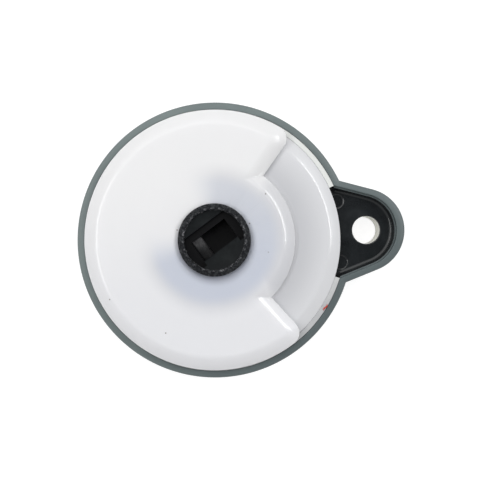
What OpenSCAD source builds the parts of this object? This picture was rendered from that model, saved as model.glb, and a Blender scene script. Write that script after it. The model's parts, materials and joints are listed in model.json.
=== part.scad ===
// Puck-shaped line reel for a hole in the ice: a dished base with a line lug, a windowed
// guard over a free-turning spool, and a socketed hub that winds the line back on.
// Millimetres. +Z is up, +X points along the lug, and the spool turns about the Z axis.

/* [Case] */
// Diameter of the base across its round wall
case_d = 60; // [54:1:72]
// Thickness of the standing lip around the guard
lip_w = 1.45; // [1:0.05:1.8]
// Width of the shoulder that the guard's skirt stands on
shoulder_w = 1.5; // [1.2:0.05:1.9]
// Thickness of the base's floor
floor_t = 1.6; // [1.2:0.1:2]
// Depth of the hollow under the floor
relief_h = 0.8; // [0.5:0.1:1]
// Width of the foot around the case's edge
edge_foot_w = 4; // [3.5:0.1:5]
// Number of ribs across the hollow under the floor
relief_ribs = 8; // [4:1:12]
// Width of one such rib
rib_w = 1.2; // [0.8:0.1:1.6]
// Radius of the rounding on the lip's outer edge
lip_round = 0.7; // [0.3:0.1:0.9]

/* [Lug] */
// How far the lug reaches past the round wall
lug_reach = 11.4; // [10:0.2:14]
// Radius of the lug's tip
lug_tip_r = 9.2; // [8.5:0.1:11]
// Angle that each side of the lug makes with its centre line
lug_taper = 18.35; // [14:0.5:22]
// Radius of the tray's rounded end
tray_r = 7.6; // [7:0.1:7.8]
// How far the middle of that rounded end lies short of the eye
tray_back = 1.8; // [1.6:0.1:2.4]
// Depth of the tray, and of the shoulder, below the lip
tray_depth = 2.4; // [1.8:0.1:3]
// Width of the small step inside the lug's rim
rebate_w = 0.4; // [0.2:0.05:0.5]
// Depth of that step
rebate_h = 0.7; // [0.4:0.1:1.2]
// Wall of the lug around its hollow underside
lug_wall = 1.5; // [1.2:0.1:1.8]
// How far the eye's centre lies outside the round wall
eye_out = 3.4; // [2.8:0.1:4.4]
// Radius of the hole that the line drops through
eye_r = 3.05; // [2.4:0.05:3.7]
// Wall of the pale liner in that hole
eye_wall = 0.85; // [0.6:0.05:1]
// How far the liner's foot spreads in its seat
liner_foot_w = 0.9; // [0.6:0.1:1]
// Thickness of that foot
liner_foot_t = 0.8; // [0.6:0.1:1]
// Wall of the boss around the liner's foot
lug_boss_wall = 1; // [0.8:0.1:1.2]
// Floor left over the liner's upper end
eye_seat_t = 0.6; // [0.4:0.1:1]
// Radius of the two round ejector marks on the tray
mark_r = 1.7; // [1.2:0.1:2]
// Depth of those marks
mark_h = 0.15; // [0.1:0.05:0.3]
// How far the marks' centres lie outside the well
mark_out = 1; // [0.4:0.1:1.2]
// Angle of each mark from the lug's centre line
mark_angle = 13.9; // [12:0.1:16]

/* [Guard] */
// Gap between the guard's edge and the lip
guard_gap = 0.15; // [0.05:0.05:0.3]
// Wall of the guard's skirt
skirt_w = 0.75; // [0.6:0.05:1]
// Thickness of the guard's top
guard_t = 1.6; // [1.2:0.1:2]
// Rounding of the guard's upper edge
guard_round = 2.4; // [1.8:0.1:2.6]
// How far the guard's round middle reaches past the drum
middle_over = 0.9; // [0.4:0.1:1.2]
// Direction of the window's sides, from the lug's centre line
window_side = 51.4; // [50:0.2:58]
// Angle at which the window's sides leave the round middle
window_root = 49; // [46:0.5:49.5]
// Rounding of the guard's two outer corners at the window
corner_r = 2.8; // [1.5:0.1:3.4]
// How far the window's edges turn down
turn_down = 0.5; // [0.2:0.1:0.8]
// Clear height between the spool's top and the turned-down edges
guard_clear = 0.3; // [0.3:0.05:0.6]
// Half angle of the gap in the skirt over the lug
line_gap = 20.75; // [18:0.25:24]
// Width of each snap tongue, as an angle
tongue_angle = 14.5; // [10:0.5:18]
// Thickness taken off the skirt where a tongue is
tongue_inset = 0.35; // [0.25:0.05:0.4]
// Play between a tongue's ends and its slot, as an angle
tongue_play = 0.5; // [0.3:0.1:1]
// Length of a tongue below the shoulder
tongue_l = 2.6; // [2.2:0.1:2.8]
// How far a tongue's slot stays inside the lip's face
slot_step = 0.1; // [0.05:0.05:0.15]
// Clear space around a hook in its pocket
hook_play = 0.15; // [0.1:0.05:0.3]
// Height of a tongue's hook
hook_h = 0.8; // [0.6:0.1:1]
// How far a hook reaches under the lip
hook_out = 0.3; // [0.2:0.05:0.4]

/* [Spool] */
// Gap between the spool and the wall around it
spool_gap = 0.35; // [0.3:0.05:0.8]
// Gap between the lower flange and the floor
floor_gap = 0.4; // [0.3:0.1:0.8]
// Thickness of the lower flange
low_flange_t = 0.8; // [0.6:0.1:1]
// Width of the winding space between the flanges
winding_w = 3.2; // [2.6:0.1:4]
// Height of the upper flange's rounded edge
edge_h = 2.2; // [1.8:0.1:2.8]
// Height of the step inside the upper flange's edge
edge_step = 0.4; // [0.2:0.1:0.6]
// Thickness of the upper flange
flange_t = 1.1; // [0.9:0.1:1.3]
// Height of the slot that the line leaves through
exit_gap = 1.2; // [1:0.1:1.4]
// Outer radius of the drum
drum_r = 16.4; // [16:0.1:17.5]
// Wall of the drum
drum_w = 1.35; // [1:0.05:1.6]
// Depth of the round recess that the brake ring runs in
brake_recess = 1; // [0.8:0.1:1.2]
// Radius of the wound line's outer turns
line_fill_r = 23.6; // [19.5:0.1:24.5]
// Gap between the wound line and the lower flange
line_play = 0.05; // [0.03:0.01:0.1]
// How far the wound line heaps up inside the upper flange
line_heap = 0.1; // [0:0.05:0.4]
// Slope of the winding's outer edges
line_slope = 0.6; // [0.3:0.1:0.9]
// Angle of the line's knot round the drum
knot_angle = 60; // [50:1:70]
// Radius of the line's knot
knot_r = 0.95; // [0.7:0.05:1.1]
// Radius of the line hole through the drum
line_hole_r = 0.6; // [0.4:0.05:0.8]
// Play of the line in that hole
line_hole_play = 0.1; // [0.05:0.05:0.2]
// Number of screws that join the flange to the drum
flange_screws_n = 3; // [3:1:4]
// Radius of the pillar under each of them
pillar_r = 2.2; // [1.9:0.1:2.4]
// Radius of a flange screw's shank
flange_screw_r = 0.95; // [0.8:0.05:1.1]
// Radius of a flange screw's head
flange_screw_head_r = 1.75; // [1.5:0.05:1.9]
// Length of a flange screw's shank below the flange
flange_screw_l = 2.8; // [2.2:0.1:3]
// Length of the cross recess in a flange screw's head
flange_cross_l = 1.8; // [1.4:0.1:2.2]
// Width of that cross recess
flange_cross_w = 0.35; // [0.25:0.05:0.5]
// Depth of that cross recess
flange_cross_h = 0.5; // [0.3:0.1:0.6]
// How far a flange screw's head is sunk
flange_screw_sink = 0.1; // [0.05:0.05:0.15]

/* [Brake] */
// Gap between the seal's collar and the brake ring
brake_in_gap = 0.5; // [0.3:0.1:0.8]
// Gap between the brake ring and the wall of its recess
brake_out_gap = 0.35; // [0.3:0.05:0.6]
// How much narrower the felt pad is than the brake ring, each side
pad_inset = 0.2; // [0.1:0.1:0.4]
// Thickness of the felt pad under the brake ring
brake_pad_t = 0.6; // [0.4:0.05:0.9]
// Play between the felt pad and the spool
brake_play = 0.05; // [0.03:0.01:0.1]
// Angle at which the brake ring's gap starts
brake_gap_from = 93; // [80:1:100]
// Angle at which the brake ring's gap ends
brake_gap_to = 191; // [170:1:200]
// Play between the guard's key and the ends of the brake ring, as an angle
key_play = 1.5; // [0.5:0.5:3]

/* [Hub] */
// Radius of the hub's stem
stem_r = 6.9; // [6.6:0.05:7]
// Gap between the stem and the guard around it
stem_gap = 0.3; // [0.2:0.05:0.4]
// How far the hub's flange reaches over the guard
hub_over = 0.55; // [0.4:0.05:0.8]
// Thickness of the hub's flange
hub_t = 1.3; // [1:0.1:1.8]
// Gap between the hub's flange and the guard
hub_gap = 0.2; // [0.1:0.05:0.4]
// Width of the sloping edge of the hub's flange
bevel_w = 1.05; // [0.6:0.05:1.1]
// Height of that sloping edge
bevel_h = 0.75; // [0.4:0.05:0.9]
// Flat rim left between the sloping edge and the round recess
rim_w = 0.25; // [0.15:0.05:0.4]
// Depth of that recess
recess_h = 0.6; // [0.4:0.05:0.9]
// Width of the socket for the winding key
socket_w = 4.8; // [4.4:0.1:5.2]
// Length of the socket for the winding key
socket_l = 8.8; // [8:0.1:9]
// Depth of the socket below the hub's top
socket_depth = 5.4; // [4.8:0.1:5.6]
// Depth of the cross slot that leads into the socket
slot_depth = 1.5; // [1.1:0.1:2]
// Width of that cross slot
slot_w = 6.8; // [6:0.1:7.4]
// Direction of the socket's long side
socket_angle = 33; // [0:1:90]
// Length of the ramp at the socket's near end
ramp_l = 2.4; // [1.6:0.1:2.8]
// Height of the upright edge above the ramp
ramp_edge = 0.3; // [0.1:0.1:0.6]
// Height of the upright edge below the ramp
ramp_foot = 1; // [0.4:0.1:1.4]
// Width of the shoulder between the journal and the keyed neck above it
neck_over = 1.6; // [1.4:0.05:1.9]
// Depth of each of the neck's two flats
neck_flat_depth = 0.9; // [0.6:0.1:1.2]
// Play between the neck and the spool
neck_play = 0.04; // [0.02:0.01:0.1]
// Radius of the journal that turns in the bush
journal_r = 4; // [3.4:0.05:4.4]

/* [Bearing] */
// Running clearance around the journal
run_clear = 0.05; // [0.02:0.01:0.1]
// Wall of the bearing bush
bush_wall = 0.95; // [0.7:0.05:1.1]
// Thickness of the bush's collar
bush_collar_t = 0.4; // [0.3:0.05:0.5]
// Width of the bush's collar
bush_collar_w = 1.2; // [0.8:0.1:1.4]
// Wall of the base's boss around the screw's recess
boss_wall = 1.2; // [1:0.1:1.4]
// Gap between that boss and the spool
boss_gap = 0.4; // [0.3:0.05:0.6]
// Wall of the spool's keyed boss
core_wall = 1.4; // [1:0.1:1.6]
// Length of the bush below its collar
bush_l = 1.45; // [1.2:0.05:1.8]
// Thickness of the thrust washer
thrust_t = 0.3; // [0.2:0.05:0.4]
// End play of the spool
end_play = 0.05; // [0.03:0.01:0.1]
// Inner wall of the collar that holds the stem's seal
seal_wall = 0.5; // [0.4:0.05:0.6]
// Width of the stem's seal
seal_w = 1.6; // [1.2:0.1:1.7]
// Running clearance inside the stem's seal
seal_clear = 0.1; // [0.05:0.05:0.2]

/* [Fasteners] */
// Radius of the axle screw's shank
screw_r = 1.5; // [1.2:0.1:1.6]
// Radius of the axle screw's head
screw_head_r = 2.9; // [2.6:0.1:3.2]
// Height of the axle screw's head
screw_head_h = 1.05; // [0.8:0.05:1.2]
// Length of the axle screw's shank
screw_l = 4; // [3.4:0.1:4.1]
// Rounding of the axle screw's head
head_round = 0.4; // [0.2:0.1:0.6]
// Length of the cross recess in the screw's head
cross_l = 2.8; // [2.2:0.1:3.6]
// Depth of that cross recess
cross_h = 0.6; // [0.4:0.1:0.7]
// Width of the cross recess in the screw's head
cross_w = 0.7; // [0.5:0.05:0.9]
// Thickness of the washer under the screw's head
washer_t = 0.3; // [0.2:0.05:0.4]
// How far that washer reaches past the bush
washer_over = 0.3; // [0.2:0.05:0.5]
// Wall of the threaded insert
insert_wall = 1.1; // [0.8:0.05:1.2]
// Length of the threaded insert
insert_l = 4.2; // [3.6:0.1:4.3]
// Space left above the insert in its hole
insert_play = 0.1; // [0.05:0.05:0.3]
// Thickness of the plug under the axle screw
plug_t = 0.7; // [0.5:0.05:0.8]
// Gap between the plug and the screw's head
plug_gap = 0.2; // [0.1:0.05:0.3]
// Width of the step that the plug seats on
plug_seat = 0.6; // [0.4:0.1:0.8]
// Width of the solid foot between the plug and the hollow under the floor
foot_w = 2.4; // [1.6:0.1:3]
// Gap around the axle screw's washer
washer_gap = 0.7; // [0.5:0.05:0.8]

/* [Hidden] */
$fn = 96;
eps = 0.01;
past = 1;
lap = 0.2;

// Heights, from the ground up
floor_z = relief_h + floor_t;
low_flange_z = floor_z + floor_gap;
winding_z = low_flange_z + low_flange_t;
edge_z = winding_z + winding_w;
spool_top = edge_z + edge_h;
shoulder_z = edge_z - exit_gap;
lip_z = shoulder_z + tray_depth;
flange_under = spool_top - flange_t;
plate_top = spool_top - brake_recess;
plate_z = plate_top - flange_t;
window_edge_z = spool_top + guard_clear;
guard_under = window_edge_z + turn_down;
guard_top = guard_under + guard_t;
hub_z = guard_top + hub_gap;
hub_top = hub_z + hub_t;
screw_head_z = plug_t + plug_gap;
washer_z = screw_head_z + screw_head_h;
journal_z = washer_z + washer_t;
boss_z = journal_z + 2 * end_play;
bush_collar_z = boss_z + bush_l;
thrust_z = bush_collar_z + bush_collar_t;
core_z = thrust_z + thrust_t + end_play;

// Radii of the case and guard, from the wall inwards
case_r = case_d / 2;
lip_in_r = case_r - lip_w;
well_r = lip_in_r - shoulder_w;
guard_r = lip_in_r - guard_gap;
skirt_in_r = guard_r - skirt_w;
middle_r = drum_r + middle_over;

// Radii of the spool
flange_r = skirt_in_r - spool_gap;
low_flange_r = well_r - spool_gap;
line_r = min(line_fill_r, flange_r - edge_h);
drum_in_r = drum_r - drum_w;
recess_out_r = drum_in_r - neck_play;
recess_in_r = recess_out_r - flange_t / 2;

// Radii of the hub, its seal and the brake, from the stem outwards
hub_hole_r = stem_r + stem_gap;
hub_r = hub_hole_r + hub_over;
hub_recess_r = hub_r - bevel_w - rim_w;
neck_r = journal_r + neck_over;
neck_flat = neck_r - neck_flat_depth;
seal_in_r = stem_r + seal_clear;
seal_out_r = seal_in_r + seal_w;
collar_r = seal_out_r + seal_wall;
collar_z = plate_top + guard_clear;
brake_in_r = collar_r + brake_in_gap;
brake_out_r = recess_in_r - brake_out_gap;
brake_z = plate_top + brake_play + brake_pad_t;

// Radii of the bearing, from the journal outwards
bush_in_r = journal_r + run_clear;
bush_out_r = bush_in_r + bush_wall;
bush_collar_r = bush_out_r + bush_collar_w;
washer_r = bush_out_r + washer_over;
washer_recess_r = washer_r + washer_gap;
boss_r = washer_recess_r + boss_wall;
core_pocket_r = boss_r + boss_gap;
core_boss_r = core_pocket_r + core_wall;
plug_r = washer_recess_r + plug_seat;
relief_in_r = plug_r + foot_w;
relief_out_r = case_r - edge_foot_w;
insert_r = screw_r + insert_wall;
flange_screw_at = (core_boss_r + drum_in_r) / 2;
flange_screw_top = plate_top - flange_screw_sink;

// The lug and its eye
lug_tip_x = case_r + lug_reach - lug_tip_r;
eye_x = case_r + eye_out;
tray_x = eye_x - tray_back;
liner_r = eye_r + eye_wall;
liner_foot_r = liner_r + liner_foot_w;
lug_boss_r = liner_foot_r + lug_boss_wall;
liner_top = shoulder_z - eye_seat_t;

// Snap tongues and their slots
tongue_at = [60, 180, 300];
tongue_r = guard_r - tongue_inset;
hook_z = shoulder_z - tongue_l;
hook_r = lip_in_r + hook_out;
slot_r = lip_in_r - slot_step;

// Parts of the window's outline
root_x = middle_r * cos(window_root);
root_y = middle_r * sin(window_root);
side_dir = [cos(window_side), sin(window_side)];
side_normal = [-sin(window_side), cos(window_side)];
far = 60;

// A flat ring between two radii and two heights
module ring(r_in, r_out, z_from, z_to) {
    translate([0, 0, z_from])
        difference() {
            cylinder(r = r_out, h = z_to - z_from);
            translate([0, 0, -past]) cylinder(r = r_in, h = z_to - z_from + 2 * past);
        }
}

// A disc between two heights
module disc(r, z_from, z_to) {
    translate([0, 0, z_from]) cylinder(r = r, h = z_to - z_from);
}

// A wedge about the axis between two angles
module wedge(a_from, a_to, z_from, z_to, reach = far) {
    steps = ceil((a_to - a_from) / 30);
    turn = (a_to - a_from) / steps;
    translate([0, 0, z_from])
        linear_extrude(height = z_to - z_from)
            polygon(concat([[0, 0]],
                [for (i = [0:steps]) reach * [cos(a_from + i * turn), sin(a_from + i * turn)]]));
}

// Part of a ring between two angles
module ring_part(r_in, r_out, z_from, z_to, a_from, a_to) {
    intersection() {
        ring(r_in, r_out, z_from, z_to);
        wedge(a_from, a_to, z_from - past, z_to + past);
    }
}

// Half section of a disc with a rounded upper edge
module rounded_half(r, z_from, z_to, rounding) {
    translate([0, z_from]) square([r, z_to - z_from - rounding]);
    translate([0, z_from]) square([r - rounding, z_to - z_from]);
    intersection() {
        translate([r - rounding, z_to - rounding]) circle(rounding);
        translate([r - rounding, z_to - rounding]) square(rounding);
    }
}

// Outline of the lug about a tip circle, with both sides tangent to it
module lug_outline(tip_x, tip_r, back_x) {
    touch_x = tip_x + tip_r * sin(lug_taper);
    touch_y = tip_r * cos(lug_taper);
    back_y = touch_y + (touch_x - back_x) * tan(lug_taper);
    translate([tip_x, 0]) circle(tip_r);
    polygon([[touch_x, touch_y], [back_x, back_y], [back_x, -back_y], [touch_x, -touch_y]]);
}

module base() {
    color([0.10, 0.12, 0.13])
        difference() {
            union() {
                rotate_extrude() rounded_half(case_r, 0, lip_z, lip_round);
                linear_extrude(height = lip_z) lug_outline(lug_tip_x, lug_tip_r, 0);
            }
            // Well for the spool, and the seat of the guard
            difference() {
                disc(well_r, floor_z, lip_z + past);
                disc(boss_r, floor_z - past, bush_collar_z);
            }
            disc(lip_in_r, shoulder_z, lip_z + past);
            // Tray over the lug, with the small step inside its rim
            translate([0, 0, shoulder_z])
                linear_extrude(height = tray_depth + past) lug_outline(tray_x, tray_r, well_r - past);
            translate([0, 0, lip_z - rebate_h])
                linear_extrude(height = rebate_h + past)
                    lug_outline(tray_x, tray_r + rebate_w, well_r - past);
            for (side = [-1, 1])
                rotate([0, 0, side * mark_angle])
                    translate([well_r + mark_out, 0, shoulder_z - mark_h]) cylinder(r = mark_r, h = past);
            // Eye with its liner's seat
            translate([eye_x, 0, -past]) cylinder(r = eye_r, h = lip_z);
            translate([eye_x, 0, -past]) cylinder(r = liner_r, h = liner_top + past);
            translate([eye_x, 0, -past]) cylinder(r = liner_foot_r, h = liner_foot_t + past);
            lug_hollow();
            // Bore of the bush, with the recess for the screw and its plug below it
            disc(bush_out_r, -past, bush_collar_z + past);
            disc(washer_recess_r, -past, boss_z);
            disc(plug_r, -past, plug_t);
            floor_relief();
            for (a = tongue_at) rotate([0, 0, a]) snap_slot();
        }
}

// Hollow under the lug, around the eye's boss
module lug_hollow() {
    difference() {
        translate([0, 0, -past])
            linear_extrude(height = shoulder_z - lug_wall + past)
                lug_outline(lug_tip_x, lug_tip_r - lug_wall, 0);
        disc(case_r - lug_wall / 2, -2 * past, lip_z);
        translate([eye_x, 0, -2 * past]) cylinder(r = lug_boss_r, h = lip_z);
    }
}

// Ribbed hollow under the floor
module floor_relief() {
    difference() {
        ring(relief_in_r, relief_out_r, -past, relief_h);
        for (i = [0:relief_ribs - 1])
            rotate([0, 0, 360 * (i + 0.5) / relief_ribs])
                translate([0, -rib_w / 2, -2 * past]) cube([case_r, rib_w, relief_h + 3 * past]);
    }
}

// Slot in the shoulder for one snap tongue, with the pocket for its hook
module snap_slot() {
    half = tongue_angle / 2;
    ring_part(well_r - past, slot_r, hook_z - hook_play, shoulder_z + past, -half, half);
    ring_part(slot_r - lap, hook_r + hook_play, hook_z - hook_play, hook_z + hook_h + hook_play,
        -half, half);
}

// Outline of the guard's window: two straight sides, each grown into the guard by an amount,
// outside a round middle. The outer corners are rounded unless the sides have grown.
module window_outline(grow, inner_r) {
    apex_x = root_x - root_y / tan(window_side) - grow / sin(window_side);
    half = grow > 0 ? [[apex_x, 0] + far * side_dir] : corner_points(apex_x);
    difference() {
        polygon(concat([[apex_x, 0]], half, [for (i = [len(half) - 1:-1:0]) [half[i][0], -half[i][1]]]));
        circle(inner_r);
    }
}

// Points along one side of the window and round the guard's outer corner beside it
function corner_points(apex_x) =
    let (
        start = [apex_x, 0] + corner_r * side_normal,
        along = start * side_dir,
        reach = guard_r - corner_r,
        run = -along + sqrt(along * along - (start * start - reach * reach)),
        centre = start + run * side_dir,
        a_from = window_side - 90,
        a_to = atan2(centre[1], centre[0]),
        steps = 6,
        turn = (a_to - a_from) / steps
    )
    concat(
        [for (i = [0:steps]) centre + corner_r * [cos(a_from + i * turn), sin(a_from + i * turn)]],
        [4 * centre]
    );

module guard_cover() {
    inner_round = guard_round - guard_t;
    color([0.93, 0.94, 0.96])
        difference() {
            union() {
                difference() {
                    rotate_extrude() rounded_half(guard_r, shoulder_z, guard_top, guard_round);
                    rotate_extrude() rounded_half(skirt_in_r, shoulder_z - past, guard_under, inner_round);
                    translate([0, 0, lip_z])
                        linear_extrude(height = guard_top) window_outline(0, middle_r - guard_t - lap);
                }
                rotate_extrude() rounded_half(middle_r, guard_under, guard_top, guard_t - 2 * eps);
                window_rim();
                ring(seal_out_r, collar_r, collar_z, guard_under + lap);
                brake_key();
                for (a = tongue_at) rotate([0, 0, a]) snap_tongue();
            }
            disc(hub_hole_r, guard_under - past, guard_top + past);
            ring_part(skirt_in_r - past, guard_r + past, shoulder_z - past, lip_z + lap, -line_gap, line_gap);
            for (a = tongue_at)
                rotate([0, 0, a])
                    ring_part(tongue_r, guard_r + past, shoulder_z, guard_top + past, -tongue_angle / 2,
                        tongue_angle / 2);
        }
}

// Turned-down edge along the window's three inner sides
module window_rim() {
    translate([0, 0, window_edge_z])
        linear_extrude(height = turn_down + lap)
            difference() {
                intersection() {
                    window_outline(guard_t, middle_r - guard_t);
                    circle(skirt_in_r + lap);
                }
                window_outline(0, middle_r);
            }
}

// Block under the guard that fills the gap of the brake ring and stops it turning
module brake_key() {
    ring_part(collar_r - lap, brake_out_r, collar_z, guard_under + lap,
        brake_gap_from + key_play, brake_gap_to - key_play);
}

// One tongue of the skirt, reaching down through the shoulder to hook under the lip
module snap_tongue() {
    half = tongue_angle / 2 - tongue_play;
    ring_part(skirt_in_r, tongue_r, hook_z, shoulder_z + lap, -half, half);
    ring_part(tongue_r - lap, hook_r, hook_z, hook_z + hook_h, -half, half);
}

module eye_liner() {
    color([0.80, 0.80, 0.77])
        translate([eye_x, 0, 0]) {
            ring(eye_r, liner_r, 0, liner_top);
            ring(eye_r, liner_foot_r, 0, liner_foot_t);
        }
}

module bearing_bush() {
    color([0.86, 0.84, 0.78]) {
        ring(bush_in_r, bush_out_r, boss_z, thrust_z);
        ring(bush_in_r, bush_collar_r, bush_collar_z, thrust_z);
    }
}

module thrust_washer() {
    color([0.95, 0.95, 0.92]) ring(bush_in_r, bush_collar_r, thrust_z, thrust_z + thrust_t);
}

module brake_ring() {
    color([0.45, 0.50, 0.60])
        ring_part(brake_in_r, brake_out_r, brake_z, guard_under, brake_gap_to - 360, brake_gap_from);
}

module brake_pad() {
    color([0.30, 0.31, 0.34])
        ring_part(brake_in_r + pad_inset, brake_out_r - pad_inset, brake_z - brake_pad_t, brake_z,
            brake_gap_to - 360, brake_gap_from);
}

module stem_seal() {
    color([0.25, 0.25, 0.27])
        ring(seal_in_r, seal_out_r, collar_z, guard_under);
}

module bottom_plug() {
    color([0.10, 0.12, 0.13]) disc(plug_r, 0, plug_t);
}

// Lower flange, drum and keyed boss in one moulding
module spool_core() {
    color([0.90, 0.91, 0.93])
        difference() {
            union() {
                disc(low_flange_r, low_flange_z, winding_z);
                ring(drum_in_r, drum_r, low_flange_z, flange_under);
                disc(core_boss_r, low_flange_z, plate_z);
                at_flange_screws() disc(pillar_r, low_flange_z, plate_z);
            }
            disc(core_pocket_r, low_flange_z - past, core_z);
            intersection() {
                disc(neck_r + neck_play, core_z - past, plate_z + past);
                neck_flats(neck_flat + neck_play);
            }
            at_flange_screws() disc(flange_screw_r, plate_z - flange_screw_l - lap, plate_z + past);
            rotate([0, 0, knot_angle])
                translate([drum_in_r - past, 0, winding_z + winding_w / 2])
                    rotate([0, 90, 0]) cylinder(r = line_hole_r, h = drum_w + 2 * past);
        }
}

// Places what it is given at each flange screw
module at_flange_screws() {
    for (i = [0:flange_screws_n - 1])
        rotate([0, 0, 360 * i / flange_screws_n]) translate([flange_screw_at, 0, 0]) children();
}

// The slab between the neck's two flats
module neck_flats(half_width) {
    rotate([0, 0, socket_angle])
        translate([-far / 2, -half_width, 0]) cube([far, 2 * half_width, hub_top]);
}

// Upper flange: a shallow cap with a rounded edge and a round recess in its middle
module spool_flange() {
    color([0.94, 0.95, 0.96])
        difference() {
            union() {
                difference() {
                    rotate_extrude() rounded_half(flange_r, edge_z, spool_top, edge_h - eps);
                    disc(flange_r - flange_t, edge_z - past, edge_z + edge_step);
                    disc(flange_r - edge_h, edge_z - past, flange_under);
                }
                disc(recess_out_r, plate_z, spool_top);
            }
            disc(recess_in_r, plate_top, spool_top + past);
            disc(stem_r + neck_play, plate_z - past, plate_top + past);
            at_flange_screws() {
                disc(flange_screw_r + neck_play, plate_z - past, plate_top + past);
                countersink(flange_screw_head_r + neck_play, flange_screw_r + neck_play);
                disc(flange_screw_head_r + neck_play, flange_screw_top, plate_top + past);
            }
        }
}

// Countersunk cone whose wide end lies just under the plate's surface
module countersink(head_r, shank_r) {
    depth = head_r - shank_r;
    translate([0, 0, flange_screw_top - depth]) cylinder(r1 = shank_r, r2 = head_r, h = depth);
}

module flange_screws() {
    color([0.72, 0.73, 0.75])
        at_flange_screws()
            difference() {
                union() {
                    disc(flange_screw_r, plate_z - flange_screw_l, flange_screw_top - eps);
                    countersink(flange_screw_head_r, flange_screw_r);
                }
                cross_recess(flange_cross_l, flange_cross_w, flange_screw_top, flange_cross_h);
            }
}

// Cross recess cut down into a screw's head
module cross_recess(width_across, slot, top, depth) {
    for (a = [0, 90])
        rotate([0, 0, a])
            translate([-width_across / 2, -slot / 2, top - depth])
                cube([width_across, slot, depth + past]);
}

// Outer shape of the line wound on the drum, its edges rounded off where the turns thin out
module wound_line() {
    bottom = winding_z + line_play;
    top = edge_z + line_heap;
    color([0.86, 0.20, 0.12])
        rotate_extrude()
            polygon([[drum_r, bottom], [line_r - line_slope, bottom], [line_r, bottom + line_slope],
                [line_r, top - line_slope], [line_r - line_slope, top], [drum_r, top]]);
}

module line_knot() {
    tail_r = line_hole_r - line_hole_play;
    color([0.86, 0.20, 0.12])
        rotate([0, 0, knot_angle])
            translate([drum_in_r - knot_r - eps, 0, winding_z + winding_w / 2]) {
                sphere(r = knot_r);
                rotate([0, 90, 0]) cylinder(r = tail_r, h = drum_w + knot_r - line_play);
            }
}

module hub() {
    color([0.07, 0.08, 0.09])
        difference() {
            union() {
                rotate_extrude()
                    polygon([[0, hub_z], [hub_r, hub_z], [hub_r, hub_top - bevel_h],
                        [hub_r - bevel_w, hub_top], [0, hub_top]]);
                disc(stem_r, plate_z, hub_z + eps);
                intersection() {
                    disc(neck_r, core_z, plate_z + eps);
                    neck_flats(neck_flat);
                }
                disc(journal_r, journal_z, core_z + eps);
            }
            disc(hub_recess_r, hub_top - recess_h, hub_top + past);
            rotate([0, 0, socket_angle]) socket_cut();
            disc(insert_r, journal_z - past, journal_z + insert_l);
        }
}

// Cross slot, socket and the ramp that leads down into it
module socket_cut() {
    slot_z = hub_top - slot_depth;
    floor_at = hub_top - socket_depth;
    intersection() {
        disc(hub_recess_r, slot_z, hub_top);
        difference() {
            translate([-hub_recess_r, -slot_w / 2, slot_z]) cube([2 * hub_recess_r, slot_w, slot_depth]);
            // Ledge that keeps the slot narrow along one side of the socket
            translate([-socket_l / 2, -slot_w / 2 - past, slot_z - past])
                cube([socket_l, (slot_w - socket_w) / 2 + past, slot_depth + 2 * past]);
        }
    }
    translate([0, socket_w / 2, 0])
        rotate([90, 0, 0])
            linear_extrude(height = socket_w)
                polygon([[-socket_l / 2, slot_z + past], [-socket_l / 2, slot_z - ramp_edge],
                    [-socket_l / 2 + ramp_l, floor_at + ramp_foot], [-socket_l / 2 + ramp_l, floor_at],
                    [socket_l / 2, floor_at], [socket_l / 2, slot_z + past]]);
}

module threaded_insert() {
    color([0.72, 0.58, 0.30])
        ring(screw_r + run_clear, insert_r, journal_z, journal_z + insert_l - insert_play);
}

module axle_screw() {
    color([0.72, 0.73, 0.75])
        difference() {
            union() {
                disc(screw_r, washer_z - eps, washer_z + screw_l);
                translate([0, 0, washer_z])
                    mirror([0, 0, 1])
                        rotate_extrude() rounded_half(screw_head_r, 0, screw_head_h, head_round);
            }
            mirror([0, 0, 1]) cross_recess(cross_l, cross_w, -screw_head_z, cross_h);
        }
}

module screw_washer() {
    color([0.72, 0.73, 0.75]) ring(screw_r + run_clear, washer_r, washer_z, journal_z);
}

base();
guard_cover();
eye_liner();
bearing_bush();
thrust_washer();
brake_ring();
brake_pad();
stem_seal();
bottom_plug();
spool_core();
spool_flange();
flange_screws();
wound_line();
line_knot();
hub();
threaded_insert();
axle_screw();
screw_washer();
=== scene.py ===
# Puck-shaped line reel for a hole in the ice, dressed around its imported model.
# Shapes are worked out in millimetres in the model's own frame and stored in metres.
import json
from math import asin, atan2, cos, hypot, pi, radians, sin, sqrt, tan

import bmesh
import bpy
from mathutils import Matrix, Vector


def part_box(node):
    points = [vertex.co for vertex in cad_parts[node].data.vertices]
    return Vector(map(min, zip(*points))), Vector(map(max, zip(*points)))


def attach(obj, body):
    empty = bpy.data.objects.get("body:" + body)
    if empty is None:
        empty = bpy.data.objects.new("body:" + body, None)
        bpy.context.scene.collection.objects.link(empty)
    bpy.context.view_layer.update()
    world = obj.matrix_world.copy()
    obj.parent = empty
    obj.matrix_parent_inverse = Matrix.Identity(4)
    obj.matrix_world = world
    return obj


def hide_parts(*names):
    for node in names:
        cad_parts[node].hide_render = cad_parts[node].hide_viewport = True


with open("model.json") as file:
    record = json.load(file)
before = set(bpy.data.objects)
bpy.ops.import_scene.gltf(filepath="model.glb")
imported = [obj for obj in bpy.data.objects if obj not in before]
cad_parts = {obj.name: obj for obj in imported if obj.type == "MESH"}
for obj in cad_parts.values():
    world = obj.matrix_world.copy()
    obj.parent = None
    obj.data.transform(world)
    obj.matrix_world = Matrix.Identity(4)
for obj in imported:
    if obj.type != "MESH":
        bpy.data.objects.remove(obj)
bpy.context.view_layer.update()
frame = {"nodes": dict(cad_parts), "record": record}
METRE = 1000
MM = 1 / METRE


# ---------------------------------------------------------------- sizes, in millimetres

def low_mm(node):
    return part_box(node)[0] / MM


def high_mm(node):
    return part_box(node)[1] / MM


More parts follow.
